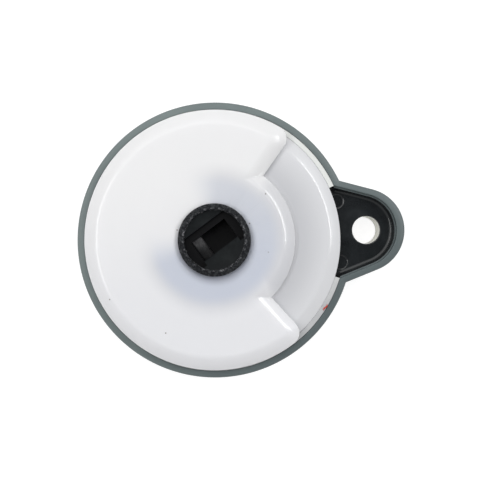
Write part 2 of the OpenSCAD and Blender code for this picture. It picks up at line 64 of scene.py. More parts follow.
base_high = high_mm("base")
guard_low, guard_high = low_mm("guard_cover"), high_mm("guard_cover")
flange_low, flange_high = low_mm("spool_flange"), high_mm("spool_flange")
hub_low, hub_high = low_mm("hub"), high_mm("hub")
liner_low, liner_high = low_mm("eye_liner"), high_mm("eye_liner")
line_low, line_high = low_mm("wound_line"), high_mm("wound_line")
bush_low, bush_high = low_mm("bearing_bush"), high_mm("bearing_bush")
brake_high = high_mm("brake_ring")
plug_high = high_mm("bottom_plug")
seal_high = high_mm("stem_seal")
mounts = {m["name"]: m for m in frame["record"]["mounts"]}

# Edge roundings, from the finest
hair_r = 0.05
fine_r = 0.1
small_r = 0.15
mid_r = 0.2
broad_r = 0.3

# How far a cutter goes past a face, and the least it goes past one that it should just clear
past = 1
sliver = 0.01

# Case
case_r = base_high.y
lip_z = base_high.z
lip_r = guard_high.y + 0.06
well_r = 27.05
shoulder_z = 5.6
floor_z = 2.4
crown_w = 1.5
crown_h = 0.5
crown_steps = 12
foot_round = 0.4
foot_steps = 4
edge_break = 0.06
case_steps = 240
# Where the gloss finish begins, how far past an outline it goes, and the band that holds the tray's ledge
gloss_from_z = floor_z - 0.1
gloss_margin = 0.03
ledge_band = (-0.01, 0.03)
facing_up = 0.9

# Lug and tray
lug_tip_r = 9.2
lug_tip_x = base_high.x - lug_tip_r
lug_taper = radians(18.35)
lug_wall = 1.5
tray_r = 7.6
tray_back = 1.8
tray_fillet = 0.9
ledge_w = 0.4
ledge_r = tray_r + ledge_w
ledge_z = lip_z - 0.7
eye_x = (liner_low.x + liner_high.x) / 2
tray_x = eye_x - tray_back
eye_r = mounts["line_eye"]["dims"]["r_mm"]
eye_flare_w = 0.25
eye_flare_step = 0.08
liner_foot_r = (liner_high.x - liner_low.x) / 2
liner_r = liner_foot_r - 0.9
liner_foot_t = 0.8
liner_top = liner_high.z
lug_boss_r = liner_foot_r + 1
mark_r = 1.7
mark_at = well_r + 1
mark_angle = radians(13.9)
mark_h = 0.15
mark_slope = 0.285
tray_foot_steps = 6
lug_side_steps = 8
lug_tip_steps = 48
tray_cut_x = well_r - 5
hollow_back_x = 20
keep_low = -2
keep_high = 9
# Edges of the tray's ledge and rim: how far out from the side, and how high over the top
ledge_edge = [(0, -0.14), (0.03, -0.06), (0.1, 0), (ledge_w, 0.02)]
rim_edge = [(0, -0.2), (0.04, -0.11), (0.12, -0.04), (0.2, sliver), (0.2, past)]

# Underside of the case
bush_r = 5
boss_r = 7.2
boss_top = bush_high.z - 0.4
recess_z = bush_low.z
recess_r = 6
plug_r = plug_high.y
plug_t = plug_high.z
plug_dish_r = plug_r - 1.6
plug_dish_h = 0.15
pip_r = 0.6
pip_low = 0.05
pip_high = 0.3
pip_round = 0.06
relief_in_r = plug_r + 2.4
relief_out_r = case_r - 4
relief_h = 0.8
relief_ribs = 8
rib_w = 1.2
rib_cut = 2

# Guard
guard_r = guard_high.y
guard_top = guard_high.z
guard_under = brake_high.z
guard_t = guard_top - guard_under
spool_top = flange_high.z
window_edge_z = spool_top + 0.07
skirt_t = 0.75
skirt_r = guard_r - skirt_t
skirt_bevel_h = 0.12
nib_h = 0.4
nib_foot_h = 0.65
skirt_steps = 220
rim_clear = 0.0004
middle_r = 17.3
window_side = radians(51.4)
window_root = radians(49)
corner_r = 2.8
inner_round = 1.4
window_corner_steps = 14
window_side_steps = 12
beside_steps = 12
between_steps = 80
behind_steps = 6
rim_slope_w = 4
rim_bend_w = 1
rim_tilts = (radians(20), radians(34))
rim_draft = 0.36
side_slope_w = 3.2
side_bend_w = 1.1
side_tilts = (radians(24), radians(38))
guard_edge_r = 0.25
guard_foot_z = lip_z - 0.2
guard_side_z = lip_z + 0.05
drop_digits = 4
ceiling_inset = 2.2
ceiling_gap = 0.05
under_guard = 7
over_guard = 13
line_gap = radians(20.75)
hub_hole_r = 7.2
hub_hole_flare = 0.6
brake_gap = radians(142)

# Snap tongues and the slots for them
tongue_at = [radians(a) for a in (60, 180, 300)]
tongue_half = radians(14.5) / 2
tongue_play = 0.009
tongue_inset = 0.35
tongue_r = guard_r - tongue_inset
tongue_z = 3
tongue_over = 0.4
tongue_steps = 12
hook_r = -guard_low.x
hook_nose = 0.1
hook_z = 3.4
hook_top = 3.8
tongue_slot_z = 2.8
tongue_slot_top = 4
tongue_slot_depth = 0.45
tongue_slot_back = 0.1
tongue_slot_steps = 16

# Spool, and the parts of the guard that stand close to it
plate_z = flange_low.z + 0.1
plate_top = spool_top - 1
flange_r = flange_high.y
flange_under = spool_top - 1.1
flange_edge_r = 0.1
flange_slope_in = 2.2
flange_step_in = 0.9
flange_step_h = 0.4
flange_foot_in = 0.7
flange_round = 0.6
flange_slope_w = 2.9
flange_bend_w = 0.7
flange_tilts = (radians(22), radians(26))
recess_out_r = 15.01
brake_recess_r = 14.46
seal_r = seal_high.y
collar_t = 0.5
collar_z = plate_top + 0.3
collar_top = guard_under + 0.2
nib_r = flange_r + 0.02

# Wound line
core_drum_r = 16.4
line_pitch = 0.46
line_sag = 0.11
line_end_slope = 0.6
line_steps = 288
line_rows = 56

# End of line that is caught beside the skirt
caught_r = 0.16
caught_at = 28.12
caught_from = radians(-33.6)
caught_turn = radians(3.2)
caught_wave = 0.12
caught_z = lip_z - 0.02
caught_rise = 0.16
caught_ends = 0.35
caught_steps = 24
caught_sides = 8

# Hub
journal_r = 4
neck_r = 5.6
neck_z = 4.55
flat_at = 4.7
flat_far = 9
stem_r = 6.9
hub_z = guard_top + 0.2
hub_foot_round = 0.12
hub_r = hub_high.y
hub_top = hub_high.z
bevel_w = 1.05
bevel_h = 0.75
hub_recess_r = 6.45
hub_recess_h = 0.6
hub_recess_z = hub_top - hub_recess_h
slot_w = 6.8
slot_far = 3.9
slot_depth = 1.5
slot_z = hub_top - slot_depth
slot_over = 0.1
slot_steps = 10
slot_ledge_y = -8
slot_ledge_h = 3
socket_w = 4.8
socket_side = socket_w / 2
socket_l = 8.8
socket_end = socket_l / 2
socket_depth = 5.4
socket_z = hub_top - socket_depth
socket_angle = radians(33)
socket_over = 0.5
ramp_l = 2.4
ramp_x = ramp_l - socket_end
ramp_top_h = 0.3
ramp_foot_h = 1
insert_r = 2.6
insert_l = 4.2
insert_low = 1


# ---------------------------------------------------------------- outlines and meshes

# A rounding under small_rounding takes few steps, any other takes many
small_rounding = 0.5
few_steps = 3
many_steps = 12

# Distances, in metres, under which two points are one and an edge is none
same_point = 2e-7
no_length = 1e-8

# How strongly broad faces set the shading of their corners
broad_first = 80


def spread(start, end, steps):
    """Evenly spaced values, both ends included."""
    return [start + (end - start) * i / steps for i in range(steps + 1)]


def arc(centre, r, a_from, a_to, steps):
    """Points along an arc, both ends included."""
    return [(centre[0] + r * cos(a), centre[1] + r * sin(a)) for a in spread(a_from, a_to, steps)]


def soften(*corners):
    """A closed outline from (x, y) or (x, y, rounding) corners, each rounded by an arc of that radius."""
    points = []
    corners = [(*corner, 0)[:3] for corner in corners]
    for i, (x, y, r) in enumerate(corners):
        here = Vector((x, y))
        if r <= 0:
            points.append((x, y))
            continue
        before = Vector(corners[i - 1][:2]) - here
        after = Vector(corners[(i + 1) % len(corners)][:2]) - here
        before.normalize()
        after.normalize()
        half = before.angle(after) / 2
        bisector = (before + after).normalized()
        centre = here + bisector * (r / sin(half))
        start = here + before * (r / tan(half)) - centre
        end = here + after * (r / tan(half)) - centre
        a_from = atan2(start.y, start.x)
        turn = atan2(end.y, end.x) - a_from
        turn = (turn + pi) % (2 * pi) - pi
        points += arc(centre, r, a_from, a_from + turn, few_steps if r < small_rounding else many_steps)
    return points


def quarter(width, height, steps):
    """Steps of an edge rounding: pairs of how far in from the side and how far below the top."""
    return [(width * (1 - cos(a)), height * (1 - sin(a))) for a in spread(0, pi / 2, steps)]


def sloped_edge(width, bend_w, tilts, edge, steps=28, edge_steps=4):
    """Steps of a moulded edge, as pairs like those of quarter: a small rounding, then a slope that eases
    into the flat top over bend_w, with a gentle tilt there and a steeper one at the rounding."""
    gentle, steep = tilts
    foot = edge * (1 - sin(steep))
    step = (width - foot) / steps
    slope_w = width - foot - bend_w
    pairs = [(width, 0)]
    drop = 0
    for i in range(steps):
        run = (i + 0.5) * step
        tilt = gentle * min(1, run / bend_w) + (steep - gentle) * max(0, run - bend_w) / slope_w
        drop += step * tan(tilt)
        pairs.append((width - (i + 1) * step, drop))
    centre = drop + edge * cos(steep)
    turns = spread(pi / 2, steep, edge_steps)[:-1]
    return [(edge * (1 - sin(a)), centre - edge * cos(a)) for a in turns] + pairs[::-1]


def inset_at(profile, drop):
    """How far in from the side a moulded edge is at a given drop below the top."""
    for (low_in, low), (high_in, high) in zip(profile, profile[1:]):
        if low >= drop >= high:
            part = (low - drop) / (low - high) if low > high else 0
            return low_in + (high_in - low_in) * part
    return profile[0][0]


def skin(rows, count, closed=False):
    """Quads between rows of points, count round each row, and from the last row to the first if closed."""
    last = rows if closed else rows - 1
    return [(i * count + j, (i + 1) % rows * count + j,
             (i + 1) % rows * count + (j + 1) % count, i * count + (j + 1) % count)
            for i in range(last) for j in range(count)]


def ends(rows, count):
    """The faces that close the first and the last row."""
    return [tuple(range(count)), tuple(reversed(range((rows - 1) * count, rows * count)))]


def new_piece(name, points, faces):
    """A mesh object from points in millimetres, with shared corners joined and its faces outwards."""
    mesh = bpy.data.meshes.new(name)
    mesh.from_pydata([Vector(p) * MM for p in points], [], faces)
    shape = bmesh.new()
    shape.from_mesh(mesh)
    bmesh.ops.remove_doubles(shape, verts=shape.verts, dist=same_point)
    bmesh.ops.dissolve_degenerate(shape, edges=shape.edges, dist=no_length)
    bmesh.ops.recalc_face_normals(shape, faces=shape.faces)
    shape.to_mesh(mesh)
    shape.free()
    piece = bpy.data.objects.new(name, mesh)
    bpy.context.scene.collection.objects.link(piece)
    return piece


def lathe(name, profile, steps=256, aside=0):
    """A solid of revolution from (radius, height) pairs, about an axis that may stand aside along X."""
    turns = spread(0, 2 * pi, steps)[:-1]
    points = [(aside + r * cos(a), r * sin(a), z) for a in turns for r, z in profile]
    return new_piece(name, points, skin(steps, len(profile), closed=True))


def sweep_arc(name, profile, a_from, a_to, steps):
    """Part of a solid of revolution between two angles, with flat ends."""
    points = [(r * cos(a), r * sin(a), z) for a in spread(a_from, a_to, steps) for r, z in profile]
    shape = (steps + 1, len(profile))
    return new_piece(name, points, skin(*shape) + ends(*shape))


def loft(name, layers):
    """A solid through stacked closed outlines, each a (points, height) pair with as many points."""
    points = [(x, y, z) for outline, z in layers for x, y in outline]
    shape = (len(layers), len(layers[0][0]))
    return new_piece(name, points, skin(*shape) + ends(*shape))


def prism(name, outline, low, high):
    """A solid with the same outline from low to high."""
    return loft(name, [(outline, low), (outline, high)])


def bar(name, x_from, x_to, y_from, y_to, low, high):
    """A square-edged cutter."""
    return prism(name, [(x_from, y_from), (x_to, y_from), (x_to, y_to), (x_from, y_to)], low, high)


def drill(name, r, low, high, **settings):
    """A round cutter with flat ends."""
    return lathe(name, [(0, low), (r, low), (r, high), (0, high)], **settings)


def settle(piece):
    """Applies a piece's modifiers."""
    graph = bpy.context.evaluated_depsgraph_get()
    mesh = bpy.data.meshes.new_from_object(piece.evaluated_get(graph))
    piece.modifiers.clear()
    piece.data = mesh


def carve(piece, tools, how="DIFFERENCE"):
    """Cuts tools out of a piece, or joins or keeps what they share, and removes the tools."""
    for tool in tools:
        step = piece.modifiers.new("carve", "BOOLEAN")
        step.operation = how
        step.solver = "MANIFOLD"
        step.object = tool
        settle(piece)
        bpy.data.objects.remove(tool)
    return piece


def polish(piece, body, slot, *finishes, sharp=34):
    """Gives a piece its body and finishes, and shading that stays sharp where faces meet at more than
    sharp degrees. The slot argument is not used."""
    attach(piece, body)
    mesh = piece.data
    mesh.materials.clear()
    for finish in finishes:
        mesh.materials.append(finish)
    mesh.polygons.foreach_set("use_smooth", [True] * len(mesh.polygons))
    mesh.set_sharp_from_angle(angle=radians(sharp))
    weigh = piece.modifiers.new("weigh", "WEIGHTED_NORMAL")
    weigh.keep_sharp = True
    weigh.weight = broad_first
    settle(piece)
    return piece


# ---------------------------------------------------------------- finishes

# Colours, as linear red, green and blue
slate_dark = (0.146, 0.180, 0.180)
slate_bloom = (0.170, 0.208, 0.206)
slate_dust = (0.21, 0.25, 0.25)
# Painted shade for the side of the case away from the lamps
slate_painted_shade = (0.64, 0.655, 0.68)
gloss_dark = (0.011, 0.013, 0.0145)
gloss_pale = (0.018, 0.021, 0.023)
# Painted shade and light on the guard: darker and bluer towards the bottom, paler towards the top
milk_painted_shade = (0.852, 0.857, 0.883)
milk_high = (0.870, 0.870, 0.874)
milk_cloud = (0.845, 0.848, 0.865)
# Painted light on the guard's thin rim
milk_rim_painted_light = (0.90, 0.91, 0.93)
brake_halo = (0.83, 0.835, 0.85)
brake_blue = (0.90, 0.935, 1.0)
hub_shadow = (0.55, 0.55, 0.57)
speck_brown = (0.45, 0.43, 0.40)
# Painted shade on the spool towards the guard's middle, then the spool's own tone
spool_painted_shade = (0.572, 0.579, 0.603)
spool_outer = (0.735, 0.742, 0.762)
# Painted light on the spool just beside the guard's middle
spool_painted_light = (0.76, 0.76, 0.78)
# Painted shade low on the skirt, and its lit tone higher up
skirt_painted_shade = (0.52, 0.53, 0.54)
skirt_high = (0.77, 0.79, 0.77)
skirt_cloud = (0.78, 0.78, 0.76)
# Painted shade deep in the hub's slot and socket
hub_deep_painted_shade = (0.0016, 0.0018, 0.0024)
hub_face = (0.0060, 0.0075, 0.0085)
hub_dust = (0.015, 0.018, 0.019)
hub_rim_dark = (0.005, 0.006, 0.008)
hub_rim_pale = (0.040, 0.043, 0.046)
# Scuffs with painted glints along the hub's edges
hub_scuffs_and_glints = (0.17, 0.17, 0.18)
# Painted light on the socket's ramp
ramp_painted_light = (0.16, 0.16, 0.165)
line_dark = (0.50, 0.035, 0.02)
line_bright = (0.72, 0.08, 0.04)

# Two tones of each plain finish
liner_tones = (0.72, 0.72, 0.66), (0.80, 0.80, 0.74)
steel_tones = (0.50, 0.51, 0.53), (0.62, 0.62, 0.64)
felt_tones = (0.05, 0.05, 0.055), (0.09, 0.09, 0.1)
bearing_tones = (0.66, 0.62, 0.52), (0.72, 0.68, 0.58)
washer_tones = (0.72, 0.72, 0.68), (0.78, 0.78, 0.74)
brake_tones = (0.16, 0.19, 0.25), (0.20, 0.23, 0.30)
brass_tones = (0.62, 0.44, 0.18), (0.72, 0.52, 0.24)

# Parts of a grain's range that a finish fades over
evenly = (0.3, 0.7)
patches = (0.35, 0.7)
weave = (0.35, 0.65)
mottle = (0.4, 0.66)
dusting = (0.4, 0.7)
sparkle = (0.5, 0.66)
dust = (0.62, 0.75)

# Places of a colour mix's factor, two colours and result
mix_factor, mix_first, mix_second, mix_result = 0, 6, 7, 2


class Value:
    """A shader socket that takes part in sums, each of which adds a Math node."""

    def __init__(self, finish, socket):
        self.finish = finish
        self.socket = socket

    def maths(self, operation, *others):
        return self.finish.node("ShaderNodeMath", {"operation": operation}, {
            i: v for i, v in enumerate((self, *others))})

    def flipped(self, operation, other):
        return self.finish.node("ShaderNodeMath", {"operation": operation}, {0: other, 1: self})

    def __add__(self, other):
        return self.maths("ADD", other)

    def __radd__(self, other):
        return self.flipped("ADD", other)

    def __sub__(self, other):
        return self.maths("SUBTRACT", other)

    def __rsub__(self, other):
        return self.flipped("SUBTRACT", other)

    def __mul__(self, other):
        return self.maths("MULTIPLY", other)

    def __rmul__(self, other):
        return self.flipped("MULTIPLY", other)

    def __truediv__(self, other):
        return self.maths("DIVIDE", other)


class Finish:
    """A material built from one Principled shader, or a world built from its Background."""

    def __init__(self, name, owner=None, shader="Principled BSDF", **settings):
        self.material = owner or bpy.data.materials.new(name)
        self.material.use_nodes = True
        self.tree = self.material.node_tree
        self.shader = self.tree.nodes[shader]
        self.set(**settings)

    def set(self, **settings):
        for key, value in settings.items():
            self.plug(self.shader.inputs[key.replace("_", " ")], value)

    def plug(self, socket, value):
        if isinstance(value, Value):
            self.tree.links.new(value.socket, socket)
        elif isinstance(value, tuple) and len(value) == 3 and socket.type == "RGBA":
            socket.default_value = (*value, 1)
        else:
            socket.default_value = value

    def node(self, kind, settings=None, inputs=None, output=0):
        """Adds a node, sets it up, fills its sockets and returns one of its outputs."""
        made = self.tree.nodes.new(kind)
        for key, value in (settings or {}).items():
            setattr(made, key, value)
        for key, value in (inputs or {}).items():
            self.plug(made.inputs[key], value)
        return Value(self, made.outputs[output])

    def blend(self, factor, first, second, how="MIX"):
        """A colour between two, by a factor."""
        return self.node("ShaderNodeMix", {"data_type": "RGBA", "blend_type": how}, {
            mix_factor: factor, mix_first: first, mix_second: second}, mix_result)

    def tint(self, colour, by, factor):
        """A colour multiplied by another, by a factor."""
        return self.blend(factor, colour, by, "MULTIPLY")

    def point(self):
        """The point on the piece, in metres."""
        return self.node("ShaderNodeTexCoord", output="Object")

    def along(self, point, axis):
        """How far a point is along X, Y or Z, in millimetres."""
        return self.node("ShaderNodeSeparateXYZ", None, {0: point}, axis) * METRE

    def fade(self, value, start, end, low=0, high=1):
        """A smooth step from low to high as a value goes from start to end."""
        return self.node("ShaderNodeMapRange", {"interpolation_type": "SMOOTHSTEP"}, {
            "Value": value, "From Min": start, "From Max": end, "To Min": low, "To Max": high})

    def wane(self, value, start, end, low=0):
        """A smooth step from 1 down to low as a value goes from start to end."""
        return self.fade(value, start, end, 1, low)

    def grain(self, point, lumps, detail=3, roughness=0.5):
        """Fractal noise, with so many lumps to a metre."""
        return self.node("ShaderNodeTexNoise", None, {
            "Vector": point, "Scale": lumps, "Detail": detail, "Roughness": roughness})

    def bump(self, height, depth, strength):
        """Raises the surface by a height times a depth in millimetres."""
        self.set(Normal=self.node("ShaderNodeBump", None, {
            "Strength": strength, "Distance": depth * MM, "Height": height}))


def from_axis(x, y):
    """Distance from the spool's axis."""
    return (x * x + y * y).maths("SQRT")


def slate_skin():
    """Outside of the case: satin black plastic with a pale bloom, and painted shade that darkens it towards
    one side of the lug.
    """
    shade_x, shade_y = 0.8, 0.6
    painted_shade_band = (-10, 30)
    dust_amount = 0.35
    finish = Finish("slate_skin", IOR=1.5)
    point = finish.point()
    x, y = (finish.along(point, axis) for axis in "XY")
    cloud = finish.grain(point, lumps=90, detail=4)
    fine = finish.grain(point, lumps=2600, detail=2)
    colour = finish.blend(finish.fade(cloud, *evenly), slate_dark, slate_bloom)
    colour = finish.blend(finish.fade(fine, *dust, 0, dust_amount), colour, slate_dust)
    # Painted shade: darker away from the lamps, towards one side of the lug
    colour = finish.tint(colour, slate_painted_shade, finish.fade(x * shade_x - y * shade_y, *painted_shade_band))
    finish.set(Base_Color=colour, Roughness=finish.fade(cloud, *evenly, low=0.42, high=0.5))
    finish.bump(fine, depth=0.004, strength=0.5)
    return finish.material


def gloss_black():
    """Inside of the case and tray: glossy black plastic with faint flow marks."""
    flow = (0.3, 0.75)
    finish = Finish("gloss_black")
    point = finish.point()
    cloud = finish.grain(point, lumps=160, detail=5, roughness=0.6)
    fine = finish.grain(point, lumps=3000, detail=2)
    finish.set(Base_Color=finish.blend(finish.fade(cloud, *patches), gloss_dark, gloss_pale),
               Roughness=finish.fade(cloud, *flow, low=0.13, high=0.24))
    finish.bump(fine, depth=0.003, strength=0.4)
    return finish.material


def milky_plastic():
    """Guard: milky plastic that lets the brake ring's C shape show through as a bluish shadow, with painted
    shade that darkens it towards the bottom and painted light on its rim.
    """
    finish = Finish("milky_plastic", Roughness=0.19, IOR=1.49, Subsurface_Weight=0.8, Subsurface_Scale=0.0012,
                    Subsurface_Radius=(1, 1, 1))
    point = finish.point()
    x, y = (finish.along(point, axis) for axis in "XY")
    radius = from_axis(x, y)
    cloud = finish.grain(point, lumps=60)
    painted_light_upwards = (-24, 20)
    cloud_amount = 0.25
    # Painted shade and light: darker and bluer towards the bottom, paler towards the top
    body = finish.blend(finish.fade(y, *painted_light_upwards), milk_painted_shade, milk_high)
    body = finish.blend(finish.fade(cloud, *patches, 0, cloud_amount), body, milk_cloud)
    body = brake_shadow(finish, body, x, y, radius, cloud)
    # Painted light on the thin rim, where light passes through the edge
    rim_band = (skirt_r, guard_r - 0.4)
    rim_light_amount = 0.7
    body = finish.blend(finish.fade(radius, *rim_band) * rim_light_amount, body, milk_rim_painted_light)
    shade_x, shade_y = 0.1, 0.9
    under_hub = from_axis(x - shade_x, y + shade_y)
    hub_band = (hub_r - 0.8, hub_r + 1.5)
    body = finish.tint(body, hub_shadow, finish.wane(under_hub, *hub_band))
    finish.set(Base_Color=finish.tint(body, speck_brown, specks(finish, point)))
    return finish.material


def brake_shadow(finish, body, x, y, radius, cloud):
    """Darkens a colour over the brake ring: a soft halo, a bluer core, and a gap where the ring is open."""
    raggedness = 1.4
    ragged = radius + cloud * raggedness - raggedness / 2
    gap_band = (0.46, 0.92)
    window_band = (0.62, 0.78)
    halo_band = (12.2, 17.4)
    core_band = (11.6, 15)
    core_weaker = (-6, 15)
    core_least = 0.5
    toward_gap = (x * cos(brake_gap) + y * sin(brake_gap)) / radius
    ring = finish.wane(toward_gap, *gap_band)
    beside_window = finish.fade(x / radius, *window_band)
    halo = finish.wane(ragged, *halo_band).maths("MAXIMUM", beside_window) * ring
    core = finish.wane(ragged, *core_band) * ring * finish.wane(y, *core_weaker, core_least)
    return finish.tint(finish.tint(body, brake_halo, halo), brake_blue, core)


def specks(finish, point):
    """Where a few tiny specks lie: close round the middle of a few cells of a pattern."""
    speck_edge = (0.03, 0.05)
    few_cells = (0.93, 0.94)
    cells_to_a_metre = 260
    cells = finish.node("ShaderNodeTexVoronoi", {"voronoi_dimensions": "2D"}, {
        "Vector": point, "Scale": cells_to_a_metre})
    colour = Value(finish, cells.socket.node.outputs["Color"])
    kind = finish.node("ShaderNodeSeparateXYZ", None, {0: colour})
    return finish.wane(cells, *speck_edge) * finish.fade(kind, *few_cells)


def white_plastic():
    """Spool: white moulded plastic, with painted shade that makes it cooler and greyer towards the guard's
    middle, and painted light right beside that middle's edge.
    """
    finish = Finish("white_plastic", Roughness=0.18)
    point = finish.point()
    x, y = (finish.along(point, axis) for axis in "XY")
    radius = from_axis(x, y)
    cloud = finish.grain(point, lumps=70)
    mean_cloud = 0.5
    unshaded_from_r = 26.5
    bounce_w = 1.3
    bounce = 0.6
    # Painted shade, fading out towards the spool's edge
    out_of_painted_shade = finish.fade(radius + cloud - mean_cloud, middle_r, unshaded_from_r)
    # Painted light just beside the guard's middle
    painted_light_by_guard = finish.fade(radius, middle_r, middle_r + bounce_w, bounce, 0)
    body = finish.blend(out_of_painted_shade, spool_painted_shade, spool_outer)
    finish.set(Base_Color=finish.blend(painted_light_by_guard, body, spool_painted_light))
    return finish.material


def skirt_plastic():
    """Skirt of the guard: the same plastic, a little green through its thin wall, with painted shade towards
    the bottom.
    """
    painted_light_upwards = (-17, 6)
    cloud_amount = 0.2
    finish = Finish("skirt_plastic", Roughness=0.35)
    point = finish.point()
    cloud = finish.grain(point, lumps=300)
    # Painted shade: darker towards the bottom, lighter towards the top
    body = finish.blend(finish.fade(finish.along(point, "Y"), *painted_light_upwards), skirt_painted_shade, skirt_high)
    body = finish.blend(finish.fade(cloud, *evenly, 0, cloud_amount), body, skirt_cloud)
    finish.set(Base_Color=body)
    return finish.material


def hub_black():
    """Hub: black plastic with painted shade deep in its slot, dusty on its ledges, with scuffs and painted
    glints along its edges and painted light on the socket's ramp.
    """
    finish = Finish("hub_black", Specular_IOR_Level=0.15)
    point = finish.point()
    x, y, z = (finish.along(point, axis) for axis in "XYZ")
    radius = from_axis(x, y)
    fine = finish.grain(point, lumps=1900, roughness=0.7)
    broad = finish.grain(point, lumps=420)
    from_slot_up = (slot_z + 0.1, hub_recess_z - 0.1)
    rim_band = (hub_recess_r - 0.25, hub_recess_r + 0.05)
    lip_band = (hub_recess_r + 0.2, hub_recess_r + 0.55)
    edge_band = (hub_r - 0.3, hub_r - 0.05)
    edge_amount = 0.5
    dust_amount = 0.6
    raised = finish.fade(z, *from_slot_up)
    # Painted shade: darker the deeper the surface lies in the slot
    colour = finish.blend(raised, hub_deep_painted_shade, hub_face)
    colour = finish.blend(finish.fade(broad, *dusting, 0, dust_amount) * raised, colour, hub_dust)
    rim = finish.fade(radius, *rim_band)
    mottled = finish.blend(finish.fade(fine, *mottle), hub_rim_dark, hub_rim_pale)
    colour = finish.blend(rim, colour, mottled)
    lip = rim * finish.wane(radius, *lip_band)
    edge = finish.fade(radius, *edge_band) * edge_amount
    # Scuffs and painted glints along the recess's lip and the outer edge
    scuffs_and_glints = finish.fade(fine, *sparkle) * lip.maths("MAXIMUM", edge)
    colour = finish.blend(scuffs_and_glints, colour, hub_scuffs_and_glints)
    # Painted light on the socket's ramp
    ramp_light_mask = painted_light_on_ramp(finish, x, y, z) * finish.fade(fine, *evenly, low=0.5)
    colour = finish.blend(ramp_light_mask, colour, ramp_painted_light)
    finish.set(Base_Color=colour, Roughness=finish.fade(fine, *evenly, low=0.34, high=0.5))
    finish.bump(fine, depth=0.012, strength=0.6)
    return finish.material


def painted_light_on_ramp(finish, x, y, z):
    """Where painted light falls on the socket's ramp, more so towards its foot, its top and one side."""
    head_band = (0.2 - socket_end, 0.5 - socket_end)
    foot_band = (ramp_x - 0.2, ramp_x + 0.1)
    side_band = (socket_side - 0.1, socket_side)
    to_one_side = (-0.6, 1.9)
    to_foot = (-3.8, -2.7)
    to_top = (7.6, 8.6)
    along = x * cos(socket_angle) + y * sin(socket_angle)
    across = y * cos(socket_angle) - x * sin(socket_angle)
    ramp = finish.fade(along, *head_band) * finish.wane(along, *foot_band)
    ramp = ramp * finish.fade(across, *to_one_side, low=0.25) * finish.fade(along, *to_foot, low=0.5)
    ramp = ramp * finish.fade(z, *to_top)
    return ramp * finish.wane(across.maths("ABSOLUTE"), *side_band)


def red_line():
    """Braided red line, with a fine slanting weave."""
    finish = Finish("red_line", Roughness=0.6)
    fine = finish.grain(finish.point(), lumps=5000)
    finish.set(Base_Color=finish.blend(finish.fade(fine, *weave), line_dark, line_bright))
    finish.bump(fine, depth=0.03, strength=0.7)
    return finish.material


def plain(name, tones, roughness, metallic=0, lumps=300, depth=0.003, play=0.05):
    """A moulded or turned finish with a small play of tone, roughness and grain."""
    finish = Finish(name, Metallic=metallic)
    point = finish.point()
    cloud = finish.grain(point, lumps, detail=4)
    fine = finish.grain(point, lumps=4000, detail=2)
    finish.set(Base_Color=finish.blend(finish.fade(cloud, *evenly), *tones),
               Roughness=finish.fade(fine, *evenly, roughness - play, roughness + play))
    finish.bump(fine, depth, strength=0.4)
    return finish.material


# ---------------------------------------------------------------- camera, light and floor

# Lamps and floor, in metres, and the camera, in millimetres
lamp_away = 0.6
floor_r = 3
floor_flat_r = 0.9 * floor_r
floor_rise = floor_r / 4
floor_steps = 96
floor_curve_steps = 8
floor_gap = 0.05
camera_up = 157
camera_aside = 5.445
camera_turn = radians(3.8)
camera_lens = 51.4
camera_film = 36
camera_near = 0.01

# Tones of the floor as lamps and as the camera meet it, and of the tent and its opening
floor_lit = (0.88, 0.88, 0.88)
floor_seen = (0.3, 0.3, 0.3)
floor_glow = (0.85, 0.85, 0.85)
no_glow = (0, 0, 0)
tent_white = (0.49, 0.49, 0.49)
tent_dim = (0.08, 0.08, 0.085)
opening_out = cos(radians(38))
opening_in = cos(radians(18))


def backdrop(name):
    """A surface that the camera sees as white, with the shadows that fall on it."""
    finish = Finish(name, Roughness=0.9, Emission_Strength=1)
    camera, glossy, through = (finish.node("ShaderNodeLightPath", output=f"Is {ray} Ray")
                               for ray in ("Camera", "Glossy", "Transmission"))
    seen = camera.maths("MAXIMUM", glossy).maths("MAXIMUM", through)
    finish.set(Base_Color=finish.blend(seen, floor_lit, floor_seen),
               Emission_Color=finish.blend(seen, no_glow, floor_glow))
    return finish.material


def light_tent():
    """An even white tent with a dim opening straight above the reel."""
    world = bpy.data.worlds.new("light_tent")
    bpy.context.scene.world = world
    tent = Finish("light_tent", world, "Background", Strength=1)
    toward = tent.node("ShaderNodeTexCoord", output="Generated")
    up = tent.node("ShaderNodeSeparateXYZ", None, {0: toward}, "Z")
    tent.set(Color=tent.blend(tent.fade(up, opening_out, opening_in), tent_white, tent_dim))


def sweep_floor():
    """A round floor, in metres, whose border curves up to a low wall."""
    curve = [(floor_r + floor_rise * sin(a), floor_rise * (1 - cos(a)))
             for a in spread(0, pi / 2, floor_curve_steps)]
    rings = [(floor_flat_r, 0)] + curve
    turns = spread(0, 2 * pi, floor_steps)[:-1]
    mesh = bpy.data.meshes.new("floor")
    mesh.from_pydata([(r * cos(a), r * sin(a), z) for r, z in rings for a in turns], [],
                     [tuple(range(floor_steps))] + skin(len(rings), floor_steps))
    mesh.shade_smooth()
    return mesh


